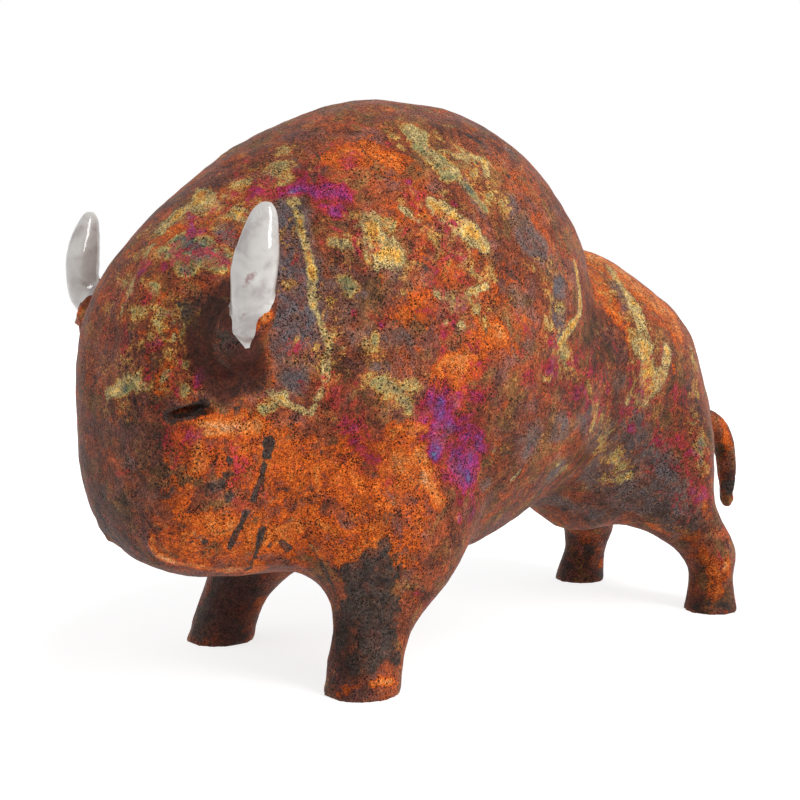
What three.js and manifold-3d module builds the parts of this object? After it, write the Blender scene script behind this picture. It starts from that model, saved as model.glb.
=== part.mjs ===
// A hand-built raku bison: hollow pinched shells, four legs, two glazed horns in clay sockets and a
// tail, luted together. Millimetres. +Z is up, the bison faces -Y and its left side is +X. The sizes
// below are counted from a point on the ground under the body, and at the end the whole bison is moved
// along Y so that its outline is centred on the origin.
import * as THREE from "three";
import { mergeVertices } from "three/addons/utils/BufferGeometryUtils.js";
import Module from "manifold-3d";

const wasm = await Module();
wasm.setup();

// Clay walls and joints
const wall = 7; // thickness of the pinched shells
const slipGap = 0.3; // line of slip left between two luted pieces
const coilRadius = 3.5; // coil pressed into the inside of a joint
const coilPress = 1; // how far that coil is flattened against the wall
const ventRadius = 4; // hole in the belly that lets the kiln heat escape
const ventY = 12; // where along the belly it is
const legBoreRadius = 4.5; // hollow up each leg, open to the body
const soleThickness = 9; // clay left under that hollow

// The masses that the shells are shaped over: middle, half-sizes and how square each one is
const humpMass = { middle: [0, -56, 131], half: [74, 95, 95.5], squareness: 2.1 };
const headMass = { middle: [0, -135, 104.5], half: [44, 52, 63], squareness: 2.9 };
const foreheadMass = { middle: [0, -105, 147], half: [49, 62, 49], squareness: 2 };
const barrelMass = { middle: [0, 26, 121], half: [53, 82, 37.5], squareness: 2.1 };
const loinMass = { middle: [0, 50, 100], half: [34, 27, 63.5], squareness: 1.7 };
const rumpMass = { middle: [0, 81, 82], half: [44, 47, 45], squareness: 2 };
const neckBlend = 26; // how softly the head runs into the hump
const rumpBlend = 20;
const barrelBlend = 30;
const spineFront = [0, 10, 13]; // start of the line that the skins are shaped out from, from the head's middle
const spineBack = [0, 4, 20]; // and its end, from the rump's middle
const creaseBlend = 3; // the sharp fold where the back leaves the hump
const flankBlend = 42; // and the soft one low on the flank
const creaseTop = 150; // height where that fold starts to soften
const creaseBottom = 85;

// Hollows pressed under the horns, and the slit eyes
const templeHollow = { middle: [54, -160, 120], half: [15, 16, 13] };
const eye = { across: 40, height: 109, length: 13, opening: 4.2, depth: 4, tilt: 0.2 };

// Joints between the shells: the middle of each joint's plane and how far it leans back
const neckJoint = { middle: [0, -104, 118], lean: 0.15 };
const waistJoint = { middle: [0, 0, 112], lean: 0.7 };
const beardSeam = 59; // height of the seam over the slab that closes the head from below

// Legs: points up the middle of each one from the sole, with its radius there, and the mass at its root
const frontLeg = {
  column: [
    [51, -106, 0, 14.6], [48.5, -100, 20, 14], [46.5, -90, 38, 14.5],
    [42, -88, 66, 20], [37, -80, 84, 20], [34, -78, 104, 8],
  ],
  root: { middle: [38, -86, 64], half: [29, 39, 31], squareness: 2.1 },
};
const hindLeg = {
  column: [
    [43, 102, 0, 12.5], [41.5, 104, 14, 10], [39, 104, 28, 12.5],
    [33, 86, 56, 13], [32, 86, 84, 12], [28, 84, 100, 5],
  ],
  root: { middle: [26, 87, 65], half: [20, 21, 30], squareness: 2 },
};
const frontRootBlend = 24;
const hindRootBlend = 20;
const legBlend = 10; // fillet of clay smoothed over where a leg meets the body
const feather = 0.8; // that fillet ends where it gets thinner than this

// One line runs out through a socket and up its horn: points from inside the head to the horn's tip
const hornLine = [
  [34, -151, 138], [52, -159, 134.5], [62, -161, 147], [64.5, -160, 162], [65, -155.5, 181.5],
];
const horn = { width: 16.4, depth: 12.8 };
const hornTurn = 0.9; // direction that the wide side of a horn faces, round from the left
const hornShares = [ // place along the line and share of the full width there
  [0.34, 0.5], [0.4, 0.68], [0.46, 0.8], [0.53, 0.88], [0.61, 0.96], [0.69, 1], [0.76, 0.97],
  [0.82, 0.89], [0.875, 0.78], [0.92, 0.66], [0.955, 0.53], [0.98, 0.38], [0.995, 0.2],
];
const socketLip = 1.4; // clay round the horn at the socket's mouth
const socketRootRadius = 17; // where the socket is smoothed onto the head
const socketNeckRadius = 9.5; // and where it turns up
const mouth = { at: 0.46, tilt: 0.95, lowSide: -0.93 }; // oblique mouth, lowest outwards and forwards

// Tail: where it leaves the rump, then steps along it with its half-width and half-depth
const tailRoot = { across: 6, height: 87 };
const tailSteps = [
  [-1, -9, 0, 7, 7], [1, 3, -1, 6.6, 6.5], [4.5, 13, -6, 6.2, 5.8], [6.5, 19, -14, 6, 5.2],
  [7.5, 21.5, -24, 6, 4.8], [8, 21.5, -35, 5, 4.2], [8, 21, -44, 3.6, 3.1], [8, 20.8, -47.5, 1.8, 1.6],
];

// How finely the forms are meshed
const bodyAround = 36;
const bodyAlong = 42;
const ringEvening = 0.25; // draws the rings together at the middle, where they would lie wider apart
const cavityAround = 24;
const cavityAlong = 26;
const legAround = 16;
const legRing = 5; // height between the rings of a leg
const hornAround = 16;
const reach = 400; // larger than the whole bison

const { smoothstep, lerp } = THREE.MathUtils;
const point = (list) => new THREE.Vector3(...list);
const up = new THREE.Vector3(0, 0, 1);

// About the distance from p to a rounded mass, negative inside it
function massDistance(p, { middle, half, squareness: n }) {
  const q = [p.x, p.y, p.z].map((v, i) => Math.abs(v - middle[i]) / half[i]);
  const level = (q[0] ** n + q[1] ** n + q[2] ** n) ** (1 / n);
  if (level < 1e-6) return -Math.min(...half);
  const slope = Math.hypot(...q.map((v, i) => (v / level) ** (n - 1) / half[i]));
  return (level - 1) / slope;
}

// Joins two distances with a fillet about as wide as blend
function softJoin(a, b, blend) {
  const h = Math.max(blend - Math.abs(a - b), 0) / blend;
  return Math.min(a, b) - (h * h * blend) / 4;
}

// The outer surface of the body: zero on the surface, negative inside the clay
function body(p) {
  const head = softJoin(massDistance(p, headMass), massDistance(p, foreheadMass), neckBlend);
  const fore = softJoin(massDistance(p, humpMass), head, neckBlend);
  const rump = softJoin(massDistance(p, rumpMass), massDistance(p, loinMass), rumpBlend);
  const back = softJoin(rump, massDistance(p, barrelMass), barrelBlend);
  const crease = lerp(flankBlend, creaseBlend, smoothstep(p.z, creaseBottom, creaseTop));
  return softJoin(fore, back, crease);
}

// Walks from a point inside a surface along a direction until it comes out
function walkOut(surface, from, direction) {
  let distance = 0;
  const p = from.clone();
  for (let step = 0; step < 200 && distance < reach; step++) {
    const left = -surface(p);
    if (left < 0.01) break;
    distance += Math.max(left * 0.6, 0.02);
    p.copy(from).addScaledVector(direction, distance);
  }
  return p;
}

// A unit sphere with each vertex pushed out from the spine to the body's surface, less an even inset
function skinOf(inset, around, along) {
  const front = point(headMass.middle).add(point(spineFront));
  const back = point(rumpMass.middle).add(point(spineBack));
  const geometry = new THREE.SphereGeometry(1, around, along);
  const position = geometry.getAttribute("position");
  for (let i = 0; i < position.count; i++) {
    const polar = Math.acos(THREE.MathUtils.clamp(position.getY(i), -1, 1));
    const turn = Math.atan2(position.getZ(i), position.getX(i));
    const evened = polar + ringEvening * Math.sin(2 * polar);
    const away = Math.sin(evened);
    const direction = new THREE.Vector3(Math.cos(turn) * away, Math.cos(evened), Math.sin(turn) * away);
    const from = front.clone().lerp(back, (1 + direction.y) / 2);
    const p = walkOut((q) => body(q) + inset, from, direction);
    position.setXYZ(i, p.x, p.y, p.z);
  }
  return solidOf(geometry);
}

// A closed geometry as a solid that can be joined and cut
function solidOf(geometry) {
  const bare = geometry.clone();
  bare.deleteAttribute("normal");
  bare.deleteAttribute("uv");
  const merged = mergeVertices(bare, 1e-3);
  const index = merged.index.array;
  const kept = [];
  for (let i = 0; i < index.length; i += 3) {
    const [a, b, c] = [index[i], index[i + 1], index[i + 2]];
    if (a !== b && b !== c && c !== a) kept.push(a, b, c);
  }
  const vertProperties = new Float32Array(merged.getAttribute("position").array);
  return new wasm.Manifold(new wasm.Mesh({ numProp: 3, vertProperties, triVerts: new Uint32Array(kept) }));
}

function geometryOf(solid) {
  const { vertProperties, triVerts } = solid.getMesh();
  return new THREE.BufferGeometry()
    .setAttribute("position", new THREE.BufferAttribute(vertProperties, 3))
    .setIndex(new THREE.BufferAttribute(triVerts, 1));
}

const mirroredAcross = (solid) => solid.mirror([1, 0, 0]);

// Everything beyond a plane: it passes a point, and direction is square to it
function beyond(p, direction) {
  const box = new THREE.BoxGeometry(2 * reach, 2 * reach, 2 * reach).translate(0, 0, reach);
  box.applyQuaternion(new THREE.Quaternion().setFromUnitVectors(up, direction));
  return solidOf(box.translate(p.x, p.y, p.z));
}

// Everything behind the plane of a joint, which is moved back by shift
function behind({ middle, lean }, shift) {
  const back = new THREE.Vector3(0, Math.cos(lean), -Math.sin(lean));
  return beyond(point(middle).addScaledVector(back, shift), back);
}

const above = (height) => beyond(new THREE.Vector3(0, 0, height), up);

function rod(from, to, radius) {
  const length = from.distanceTo(to);
  const cylinder = new THREE.CylinderGeometry(radius, radius, length, 14).translate(0, length / 2, 0);
  const along = to.clone().sub(from).normalize();
  cylinder.applyQuaternion(new THREE.Quaternion().setFromUnitVectors(new THREE.Vector3(0, 1, 0), along));
  return solidOf(cylinder.translate(from.x, from.y, from.z));
}

// A rounded hollow, grown all round by some thickness
function hollow({ middle, half }, growth) {
  const sphere = new THREE.SphereGeometry(1, 22, 14);
  sphere.scale(...half.map((h) => h + growth));
  return solidOf(sphere.translate(...middle));
}

// Rings of points, closed at both ends, as one solid; every ring runs the same way round
function stackOf(rings) {
  const around = rings[0].length;
  const middleOf = (ring) => ring.reduce((sum, p) => sum.add(p), new THREE.Vector3()).divideScalar(around);
  const points = [middleOf(rings[0]), ...rings.flat(), middleOf(rings.at(-1))];
  const at = (ring, i) => 1 + ring * around + (i % around);
  const faces = [];
  for (let i = 0; i < around; i++) {
    faces.push(0, at(0, i + 1), at(0, i));
    faces.push(points.length - 1, at(rings.length - 1, i), at(rings.length - 1, i + 1));
    for (let ring = 0; ring + 1 < rings.length; ring++) {
      faces.push(at(ring, i), at(ring, i + 1), at(ring + 1, i + 1));
      faces.push(at(ring, i), at(ring + 1, i + 1), at(ring + 1, i));
    }
  }
  return solidOf(new THREE.BufferGeometry().setFromPoints(points).setIndex(faces));
}

// An oval ring square to a direction, its wide side turned towards across
function ovalRing(middle, along, across, halfWidth, halfDepth, around) {
  const wide = across.clone().addScaledVector(along, -across.dot(along)).normalize();
  const deep = along.clone().cross(wide);
  return Array.from({ length: around }, (_, i) => {
    const angle = (i / around) * 2 * Math.PI;
    return middle
      .clone()
      .addScaledVector(wide, Math.cos(angle) * halfWidth)
      .addScaledVector(deep, Math.sin(angle) * halfDepth);
  });
}

// A leg on the left: a waisted column that swells into the mass at its root and flares onto the body
function legSolid({ column, root }, rootBlend) {
  const axis = new THREE.CubicInterpolant(
    column.map(([, , z]) => z),
    column.flatMap(([x, y, , radius]) => [x, y, radius]),
    3,
  );
  const surface = (p) => {
    const [x, y, radius] = axis.evaluate(p.z);
    const alone = softJoin(Math.hypot(p.x - x, p.y - y) - radius, massDistance(p, root), rootBlend);
    return Math.max(softJoin(alone, body(p) + feather, legBlend), alone - legBlend, slipGap / 2 - p.x);
  };
  const top = column.at(-1)[2];
  const steps = Math.round(top / legRing);
  const rings = [];
  for (let step = 0; step <= steps; step++) {
    const z = (top * step) / steps;
    const [x, y] = axis.evaluate(z);
    const ring = [];
    for (let i = 0; i < legAround; i++) {
      const angle = (i / legAround) * 2 * Math.PI;
      const direction = new THREE.Vector3(Math.cos(angle), Math.sin(angle), 0);
      ring.push(walkOut(surface, new THREE.Vector3(x, y, z), direction));
    }
    rings.push(ring);
  }
  return stackOf(rings).subtract(legBore(column));
}

// The hollow up a leg, from over its sole into the body
function legBore(column) {
  const [footX, footY] = column[0];
  const [topX, topY, topZ] = column.at(-1);
  const foot = new THREE.Vector3(footX, footY, soleThickness);
  return rod(foot, new THREE.Vector3(topX, topY, topZ), legBoreRadius);
}

const hornCurve = new THREE.CatmullRomCurve3(hornLine.map(point));
const hornAcross = new THREE.Vector3(Math.cos(hornTurn), Math.sin(hornTurn), 0);

function hornRing(t, halfWidth, halfDepth) {
  const middle = hornCurve.getPoint(t);
  return ovalRing(middle, hornCurve.getTangent(t), hornAcross, halfWidth, halfDepth, hornAround);
}

// A horn with its foot in the socket, or the room for it, which is swollen by a gap
function hornSolid(gap) {
  const rings = hornShares.map(([t, share]) => {
    const halfWidth = (horn.width * share) / 2 + gap;
    const halfDepth = (horn.depth * share) / 2 + gap;
    return hornRing(t, halfWidth, halfDepth);
  });
  return stackOf(rings);
}

// The clay socket round the foot of a horn, cut off at its oblique mouth
function socketSolid() {
  const halfWidth = horn.width / 2 + socketLip;
  const halfDepth = horn.depth / 2 + socketLip;
  const rings = [
    ...[0, 0.1, 0.2, 0.3].map((t) => {
      const radius = lerp(socketNeckRadius, socketRootRadius, (1 - t / 0.3) ** 1.5);
      return hornRing(t, radius, radius);
    }),
    hornRing(0.4, (socketNeckRadius + halfWidth) / 2, (socketNeckRadius + halfDepth) / 2),
    ...[0.5, 0.6, 0.7, 0.8].map((t) => hornRing(t, halfWidth, halfDepth)),
  ];
  const lowSide = new THREE.Vector3(Math.cos(mouth.lowSide), Math.sin(mouth.lowSide), 0);
  const out = lowSide.multiplyScalar(Math.sin(mouth.tilt)).addScaledVector(up, Math.cos(mouth.tilt));
  const overMouth = beyond(hornCurve.getPoint(mouth.at), out);
  return stackOf(rings).subtract(overMouth).subtract(hornSolid(slipGap));
}

// A slit pressed into the head where a line at the eye's place comes out of it
function eyeSlit() {
  const inside = new THREE.Vector3(eye.across, headMass.middle[1], eye.height);
  const p = walkOut(body, inside, new THREE.Vector3(0, -1, 0));
  const slope = (x, y, z) => body(p.clone().add(new THREE.Vector3(x, y, z))) - body(p);
  const out = new THREE.Vector3(slope(0.1, 0, 0), slope(0, 0.1, 0), slope(0, 0, 0.1)).normalize();
  const back = up.clone().cross(out).normalize();
  const slit = new THREE.SphereGeometry(1, 18, 12).scale(eye.length / 2, eye.opening / 2, eye.depth);
  slit.rotateZ(eye.tilt);
  slit.applyMatrix4(new THREE.Matrix4().makeBasis(back, out.clone().cross(back), out));
  return solidOf(slit.translate(p.x, p.y, p.z));
}

// A coil of clay pressed all round the inside of a joint
function coilSolid({ middle, lean }) {
  const side = new THREE.Vector3(1, 0, 0);
  const rise = new THREE.Vector3(0, Math.sin(lean), Math.cos(lean));
  const depth = wall + slipGap + coilRadius - coilPress;
  const turns = 30;
  const points = Array.from({ length: turns }, (_, i) => {
    const angle = (i / turns) * 2 * Math.PI;
    const direction = side.clone().multiplyScalar(Math.cos(angle)).addScaledVector(rise, Math.sin(angle));
    return walkOut((p) => body(p) + depth, point(middle), direction);
  });
  const line = new THREE.CatmullRomCurve3(points, true);
  const coil = solidOf(new THREE.TubeGeometry(line, turns, coilRadius, 6, true));
  return coil.intersect(skinOf(wall + slipGap, cavityAround, cavityAlong));
}

function tailSolid() {
  const inside = new THREE.Vector3(tailRoot.across, rumpMass.middle[1], tailRoot.height);
  const start = walkOut(body, inside, new THREE.Vector3(0, 1, 0));
  const points = tailSteps.map(([x, y, z]) => start.clone().add(new THREE.Vector3(x, y, z)));
  const line = new THREE.CatmullRomCurve3(points);
  const side = new THREE.Vector3(1, 0, 0);
  const last = points.length - 1;
  const rings = points.map((p, i) => {
    const [, , , halfWidth, halfDepth] = tailSteps[i];
    return ovalRing(p, line.getTangent(i / last), side, halfWidth, halfDepth, 12);
  });
  return stackOf(rings);
}

const group = new THREE.Group();

function clay(color, roughness, metalness) {
  return new THREE.MeshStandardMaterial({ color, roughness, metalness });
}

function add(name, solid, material) {
  const mesh = new THREE.Mesh(geometryOf(solid), material);
  mesh.name = name;
  group.add(mesh);
}

// The same piece on the left and, mirrored, on the right, each cut clear of the body on its own side
function addPair(name, solid, material) {
  add(name.replace("side", "left"), clearOfBody(solid), material());
  add(name.replace("side", "right"), clearOfBody(mirroredAcross(solid)), material());
}

const copperGlaze = () => clay(0x8a4a2c, 0.5, 0.35);
const whiteGlaze = () => clay(0xd8d4d0, 0.15, 0);
const rawClay = () => clay(0x5b4a42, 0.9, 0);
const bothSides = (solid) => solid.add(mirroredAcross(solid));
const clearOfBody = (solid) => solid.subtract(swollenSkin);

// The outside of the whole body, the room inside it, and everything pressed into it or cut through it
const skin = skinOf(0, bodyAround, bodyAlong);
const room = skinOf(wall, cavityAround, cavityAlong).subtract(bothSides(hollow(templeHollow, wall)));
const pressed = bothSides(hollow(templeHollow, 0).add(eyeSlit()));
const bellyTop = new THREE.Vector3(0, ventY, barrelMass.middle[2]);
const bellyVent = rod(bellyTop, bellyTop.clone().setZ(0), ventRadius);
const bores = bothSides(legBore(frontLeg.column).add(legBore(hindLeg.column)));
const swollenSkin = skin.add(skinOf(-slipGap, bodyAround, bodyAlong));
const hollowBody = skin.subtract(room).subtract(pressed).subtract(bellyVent).subtract(bores);

const head = hollowBody.subtract(behind(neckJoint, -slipGap / 2));
const trunk = hollowBody.intersect(behind(neckJoint, slipGap / 2));
add("head_shell", head.intersect(above(beardSeam + slipGap / 2)), copperGlaze());
add("beard_base", head.subtract(above(beardSeam - slipGap / 2)), copperGlaze());
add("hump_shell", trunk.subtract(behind(waistJoint, -slipGap / 2)), copperGlaze());
add("rump_shell", trunk.intersect(behind(waistJoint, slipGap / 2)), copperGlaze());
add("neck_joint_coil", coilSolid(neckJoint), rawClay());
add("waist_joint_coil", coilSolid(waistJoint), rawClay());

addPair("front_side_leg", legSolid(frontLeg, frontRootBlend), copperGlaze);
addPair("hind_side_leg", legSolid(hindLeg, hindRootBlend), copperGlaze);
addPair("side_horn_socket", socketSolid(), copperGlaze);
addPair("side_horn", hornSolid(0), whiteGlaze);
add("tail", clearOfBody(tailSolid()), copperGlaze());

const outline = new THREE.Box3().setFromObject(group);
group.position.y = -(outline.min.y + outline.max.y) / 2;

export default group;
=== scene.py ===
import math

import bmesh
import bpy
import numpy as np
from mathutils import Matrix, Vector, noise
from mathutils.bvhtree import BVHTree


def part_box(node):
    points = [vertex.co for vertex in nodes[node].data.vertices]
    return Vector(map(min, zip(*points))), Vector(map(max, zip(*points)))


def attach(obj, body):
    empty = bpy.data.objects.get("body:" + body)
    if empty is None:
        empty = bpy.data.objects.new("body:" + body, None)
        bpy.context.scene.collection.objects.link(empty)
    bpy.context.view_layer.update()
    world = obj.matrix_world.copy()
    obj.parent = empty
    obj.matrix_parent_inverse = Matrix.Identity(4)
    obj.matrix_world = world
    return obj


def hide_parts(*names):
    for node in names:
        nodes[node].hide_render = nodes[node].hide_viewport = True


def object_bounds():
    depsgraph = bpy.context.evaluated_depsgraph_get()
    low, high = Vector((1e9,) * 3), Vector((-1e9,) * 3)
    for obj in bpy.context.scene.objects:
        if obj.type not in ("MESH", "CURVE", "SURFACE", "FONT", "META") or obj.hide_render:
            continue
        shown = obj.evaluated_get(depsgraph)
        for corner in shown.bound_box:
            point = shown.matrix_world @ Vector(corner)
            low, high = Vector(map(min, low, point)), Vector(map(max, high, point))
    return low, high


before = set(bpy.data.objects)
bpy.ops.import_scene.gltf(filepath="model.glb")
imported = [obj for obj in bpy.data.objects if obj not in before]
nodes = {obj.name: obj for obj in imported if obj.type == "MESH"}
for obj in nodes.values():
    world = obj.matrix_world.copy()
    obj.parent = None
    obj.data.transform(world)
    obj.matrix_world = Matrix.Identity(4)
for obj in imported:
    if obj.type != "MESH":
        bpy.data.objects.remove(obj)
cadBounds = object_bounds()
scene = bpy.context.scene
print("frame loaded:", len(nodes), "nodes")

# the camera comes first, because the glaze is laid on along its lines of sight
photoView = {
    "place": (0.492722, -0.416362, 0.161595),
    "tilt": 84.6634,  # degrees up from straight down
    "turn": 51.882,
    "lens": 67.47,
    "sensor": 36,
    "width": 800,
}
cameraData = bpy.data.cameras.new("photoCamera")
cameraData.lens = photoView["lens"]
cameraData.sensor_width = photoView["sensor"]
cameraData.clip_start = 0.01
cameraData.clip_end = 50
camera = bpy.data.objects.new("photoCamera", cameraData)
camera.location = photoView["place"]
camera.rotation_euler = (math.radians(photoView["tilt"]), 0, math.radians(photoView["turn"]))
scene.collection.objects.link(camera)
scene.camera = camera
bpy.context.view_layer.update()


def sightLine(across, down):
    # the way that the camera looks through a place in the photo
    half = photoView["width"] / 2
    focal = photoView["lens"] / photoView["sensor"] * photoView["width"]
    local = Vector(((across - half) / focal, (half - down) / focal, -1))
    return (camera.matrix_world.to_3x3() @ local).normalized()


def makeObject(name, bm):
    mesh = bpy.data.meshes.new(name)
    bm.to_mesh(mesh)
    bm.free()
    piece = bpy.data.objects.new(name, mesh)
    scene.collection.objects.link(piece)
    return piece


def removeObject(piece):
    mesh = piece.data
    bpy.data.objects.remove(piece)
    bpy.data.meshes.remove(mesh)


def applyModifiers(piece):
    depsgraph = bpy.context.evaluated_depsgraph_get()
    finished = bpy.data.meshes.new_from_object(piece.evaluated_get(depsgraph))
    rough = piece.data
    piece.modifiers.clear()
    piece.data = finished
    bpy.data.meshes.remove(rough)
    finished.name = piece.name


def remesh(piece, voxel):
    modifier = piece.modifiers.new("remesh", "REMESH")
    modifier.mode = "VOXEL"
    modifier.voxel_size = voxel
    applyModifiers(piece)


def combine(piece, tool, operation):
    modifier = piece.modifiers.new("cut", "BOOLEAN")
    modifier.operation = operation
    modifier.object = tool
    modifier.solver = "MANIFOLD"
    applyModifiers(piece)


def splitOff(piece, tool, name):
    # what lies inside the tool becomes an object of its own
    part = bpy.data.objects.new(name, piece.data.copy())
    scene.collection.objects.link(part)
    combine(part, tool, "INTERSECT")
    combine(piece, tool, "DIFFERENCE")
    return part


def evenOut(piece, rounds):
    # smooths facets away and keeps the volume: each round pulls in, then pushes out
    bm = bmesh.new()
    bm.from_mesh(piece.data)
    for _ in range(rounds):
        for factor in (0.6, -0.62):
            bmesh.ops.smooth_vert(
                bm, verts=bm.verts, factor=factor, use_axis_x=True, use_axis_y=True, use_axis_z=True
            )
    bm.to_mesh(piece.data)
    bm.free()


def read(mesh, attribute):
    values = np.empty(len(mesh.vertices) * 3, np.float32)
    (mesh.vertices if attribute == "co" else mesh.vertex_normals).foreach_get(attribute, values)
    return values.reshape(-1, 3).astype(float)


def write(mesh, places):
    mesh.vertices.foreach_set("co", places.astype(np.float32).ravel())
    mesh.update()


# ---- the fused skin of clay: shells, legs, sockets, horns and tail run into each other as on the real piece
clayForm = {
    "voxel": 0.0013,
    "evenRounds": 40,
    "roundVoxel": 0.003,
    "roundRounds": 30,
    "roundReach": (0.0007, 0.0014),
    "roomVoxel": 0.003,
    "wall": 0.007,
    "ventPlace": (0, 0.0287),
    "ventRadius": 0.004,
    "ventPlug": (0.0532, 0.0635),
}

bm = bmesh.new()
for name in nodes:
    if not name.endswith("coil"):
        bm.from_mesh(nodes[name].data)
bmesh.ops.remove_doubles(bm, verts=bm.verts, dist=1e-6)
ventLow, ventHigh = clayForm["ventPlug"]
ventMiddle = Matrix.Translation((*clayForm["ventPlace"], (ventLow + ventHigh) / 2))


def plugVent(bm):
    bmesh.ops.create_cone(
        bm, cap_ends=True, segments=32, radius1=0.005, radius2=0.005, depth=ventHigh - ventLow, matrix=ventMiddle
    )


plugVent(bm)
clay = makeObject("clay", bm)
remesh(clay, clayForm["voxel"])
evenOut(clay, clayForm["evenRounds"])
print("clay skin:", len(clay.data.polygons), "faces")


def noiseField(places, size, seed):
    shift = Vector((seed * 17.3, seed * 9.1, seed * 5.7))
    return np.array([noise.noise(Vector(place) / size + shift) for place in places])


def surfaceTree(piece):
    bm = bmesh.new()
    bm.from_mesh(piece.data)
    tree = BVHTree.FromBMesh(bm)
    bm.free()
    return tree


# broad facets are drawn onto a rounder copy of the skin, small shapes are left as they are
rounder = bpy.data.objects.new("rounder", clay.data.copy())
scene.collection.objects.link(rounder)
remesh(rounder, clayForm["roundVoxel"])
evenOut(rounder, clayForm["roundRounds"])
tree = surfaceTree(rounder)
removeObject(rounder)
places = read(clay.data, "co")
moves = np.array([tree.find_nearest(place)[0] for place in places]) - places
nearEnough, tooFar = clayForm["roundReach"]
kept = np.clip((tooFar - np.linalg.norm(moves, axis=1)) / (tooFar - nearEnough), 0, 1)
kept *= np.clip((places[:, 2] - 0.002) / 0.006, 0, 1)
for name in ("left_horn", "right_horn", "left_horn_socket", "right_horn_socket"):
    low, high = (np.array(corner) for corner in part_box(name))
    kept *= np.any((places < low - 0.002) | (places > high + 0.002), axis=1)
write(clay.data, places + moves * kept[:, None])
print("facets drawn round")
clayTree = surfaceTree(clay)


def onClay(across, down):
    # the point of the clay that shows at a place in the photo, or None off the bison
    return clayTree.ray_cast(camera.location, sightLine(across, down))[0]


def mirrored(place):
    return Vector((-place.x, place.y, place.z))


def lineDistance(places, line):
    # how far each place is from a line through some points
    nearest = np.full(len(places), np.inf)
    for start, end in zip(line, line[1:] or line):
        start, way = np.array(start), np.array(end) - np.array(start)
        share = np.clip((places - start) @ way / max(way @ way, 1e-12), 0, 1)
        nearest = np.minimum(nearest, np.linalg.norm(places - start - share[:, None] * way, axis=1))
    return nearest


# what the fingers and tools left in the clay: lumps all over, then marks at places in the photo.
# Each mark is a line of places, its half-width and how far it stands out, both in millimetres
handMarks = {
    "lumps": ((0.034, 0.0009), (0.013, 0.00045), (0.0055, 0.00022), (0.0026, 0.00009)),
    "marks": (
        ([(147, 541), (152, 552)], 1.6, 0.8),
        ([(155, 553), (190, 562), (245, 566), (285, 565)], 2.0, 0.5),
        ([(150, 558), (185, 569), (240, 573)], 1.4, -0.4),
        ([(270, 450), (262, 466), (253, 498)], 1.2, -0.45),
        ([(246, 516), (236, 532), (228, 548)], 1.3, -0.45),
        ([(263, 531), (255, 550), (246, 569)], 1.3, -0.45),
        ([(205, 492), (235, 480)], 1.5, -0.3),
        ([(285, 546), (292, 552)], 0.9, -0.6),
        ([(302, 549), (308, 553)], 0.9, -0.5),
        ([(165, 423), (185, 425), (205, 415)], 1.6, 0.5),
        ([(168, 405), (190, 400), (208, 397)], 1.8, 0.6),
        ([(556, 283), (553, 312), (548, 345), (540, 385)], 2.2, -0.9),
        ([(570, 262), (575, 290), (572, 320)], 3.0, 0.5),
        ([(471, 139), (479, 138)], 1.0, -0.6),
        ([(220, 338), (240, 352), (262, 346)], 4.6, -3.0),
    ),
    "tailLean": 0.0022,
    "tailRootShare": 0.75,
}

places = read(clay.data, "co")
normals = read(clay.data, "vector")
rise = sum(noiseField(places, size, seed) * height for seed, (size, height) in enumerate(handMarks["lumps"]))
rise *= np.clip((places[:, 2] - 0.0006) / 0.004, 0, 1)  # the soles stay flat
for line, halfWidth, height in handMarks["marks"]:
    points = [point for point in (onClay(*spot) for spot in line) if point]
    for side in (points, [mirrored(point) for point in points]):
        away = lineDistance(places, side) / (halfWidth / 1000)
        rise += height / 1000 * np.exp(-away * away)
places += normals * rise[:, None]
# the middle of the tail hangs against the haunches
tailTree = surfaceTree(nodes["tail"])
tailLow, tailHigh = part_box("tail")
away = np.array([tailTree.find_nearest(place)[3] for place in places])
up = (places[:, 2] - tailLow.z) / (tailHigh.z - tailLow.z) / handMarks["tailRootShare"]
lean = np.sin(np.pi * np.clip(0.15 + up * 0.85, 0, 1)) * np.clip((0.0016 - away) / 0.0008, 0, 1)
places[:, 1] -= lean * handMarks["tailLean"]
places[:, 2] = np.where(places[:, 2] < 0.0006, 0, places[:, 2])
cadLow, cadHigh = (np.array(corner) for corner in cadBounds)
low, high = places.min(0), places.max(0)
share = np.minimum((cadHigh - cadLow) / (high - low), 1)
middle = np.array((0, (cadLow[1] + cadHigh[1]) / 2, 0))
places = (places - np.array((*((low + high) / 2)[:2], 0))) * share + middle
write(clay.data, places)
print("hand marks pressed in")

# ---- the eyes are slits pressed in with a tool
eyeSlit = {
    "ends": ((170, 416), (204, 406)),
    "halfHeight": 0.0018,
    "depth": 0.006,
}


def eyeTool(side):
    ends = [onClay(*spot) for spot in eyeSlit["ends"]]
    if side < 0:
        ends = [mirrored(end) for end in ends]
    middle = (ends[0] + ends[1]) / 2
    along = (ends[1] - ends[0]).normalized()
    out = clayTree.find_nearest(middle)[1]
    across = out.cross(along).normalized()
    out = along.cross(across)
    turn = Matrix((along, across, out)).transposed().to_4x4()
    size = Matrix.Diagonal(((ends[1] - ends[0]).length / 2, eyeSlit["halfHeight"], eyeSlit["depth"], 1))
    bm = bmesh.new()
    bmesh.ops.create_uvsphere(
        bm, u_segments=36, v_segments=20, radius=1, matrix=Matrix.Translation(middle) @ turn @ size
    )
    bmesh.ops.recalc_face_normals(bm, faces=bm.faces)
    return makeObject("eyeTool", bm)


for side in (1, -1):
    tool = eyeTool(side)
    combine(clay, tool, "DIFFERENCE")
    removeObject(tool)

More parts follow.
